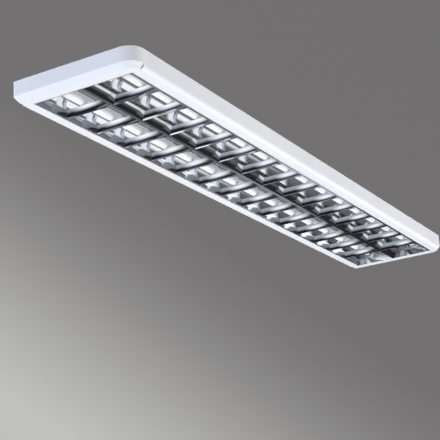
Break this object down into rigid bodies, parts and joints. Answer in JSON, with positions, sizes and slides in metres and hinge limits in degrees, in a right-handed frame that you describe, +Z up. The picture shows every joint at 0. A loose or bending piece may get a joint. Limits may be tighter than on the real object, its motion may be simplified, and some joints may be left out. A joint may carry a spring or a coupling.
{
  "type": "surface mount louvre light",
  "caption": "Shallow ceiling-mounted light with a white housing, twin lamps and a hinged mirror louvre of square cells.",
  "frame": {"origin": "centre of the face that lies on the ceiling", "axes": "+Z up out of the ceiling face, +X along the light from the near end of the picture to the far end, +Y across the light towards the hinged edge of the louvre"},
  "size_m": [1.219, 0.2156, 0.042],
  "materials": {
    "white_paint": "smooth white powder coat",
    "tray_paint": "white powder coat on sheet steel",
    "white_moulding": "white moulding, satin",
    "holder_moulding": "white heat-proof moulding",
    "terminal_moulding": "white moulding",
    "mirror_sheet": "mirror-bright anodised sheet",
    "zinc_steel": "zinc plated",
    "ballast_can": "folded plated sheet",
    "brass": "plain",
    "lamp_glass": "white powder coating inside the glass",
    "lamp_cap": "satin",
    "lead_jacket": "smooth wire jacket",
    "dark_rubber": "matte"
  },
  "bodies": {
    "housing": {"gear_tray": "tray_paint", "side_rail_left": "white_paint", "side_rail_right": "white_paint", "end_cap_near": "white_moulding", "end_cap_far": "white_moulding", "end_cap_screws": "zinc_steel", "rail_rivets": "zinc_steel", "holder_plate_near": "tray_paint", "holder_plate_far": "tray_paint", "plate_screws": "zinc_steel", "lampholder_left_near": "holder_moulding", "lampholder_left_far": "holder_moulding", "lampholder_right_near": "holder_moulding", "lampholder_right_far": "holder_moulding", "lamp_reflector_left": "mirror_sheet", "lamp_reflector_right": "mirror_sheet", "reflector_rivets": "zinc_steel", "ballast_case": "ballast_can", "ballast_terminals": "terminal_moulding", "ballast_screws": "zinc_steel", "terminal_block": "terminal_moulding", "terminal_screws": "brass", "earth_stud": "brass", "cable_grommet": "dark_rubber", "supply_leads": "lead_jacket", "lamp_leads_near": "lead_jacket", "lamp_leads_far": "lead_jacket", "lead_clips": "terminal_moulding", "hinge_brackets": "zinc_steel", "louvre_catches": "zinc_steel"},
    "louvre": {"side_reflector_left": "mirror_sheet", "side_reflector_right": "mirror_sheet", "spine_reflector": "mirror_sheet", "louvre_end_plate_near": "mirror_sheet", "louvre_end_plate_far": "mirror_sheet", "hinge_pins": "zinc_steel", "catch_tongues": "mirror_sheet", "cross_blade_01": "mirror_sheet", "cross_blade_02": "mirror_sheet", "cross_blade_03": "mirror_sheet", "cross_blade_04": "mirror_sheet", "cross_blade_05": "mirror_sheet", "cross_blade_06": "mirror_sheet", "cross_blade_07": "mirror_sheet", "cross_blade_08": "mirror_sheet", "cross_blade_09": "mirror_sheet", "cross_blade_10": "mirror_sheet", "cross_blade_11": "mirror_sheet", "cross_blade_12": "mirror_sheet", "cross_blade_13": "mirror_sheet", "cross_blade_14": "mirror_sheet"},
    "left_lamp": {"lamp_tube_left": "lamp_glass", "lamp_caps_left": "lamp_cap", "lamp_pins_left": "brass", "rotors_left": "holder_moulding"},
    "right_lamp": {"lamp_tube_right": "lamp_glass", "lamp_caps_right": "lamp_cap", "lamp_pins_right": "brass", "rotors_right": "holder_moulding"}
  },
  "joints": [
    {"name": "louvre_swing", "type": "hinge", "parent": "housing", "child": "louvre", "pos_m": [0, 0.0846, -0.04063], "axis": [1, 0, 0], "range_deg": [0, 90]},
    {"name": "left_lamp_twist", "type": "hinge", "parent": "housing", "child": "left_lamp", "pos_m": [0, 0.0535, -0.02], "axis": [1, 0, 0], "range_deg": [0, 90]},
    {"name": "right_lamp_twist", "type": "hinge", "parent": "housing", "child": "right_lamp", "pos_m": [0, -0.0535, -0.02], "axis": [1, 0, 0], "range_deg": [0, 90]}
  ]
}
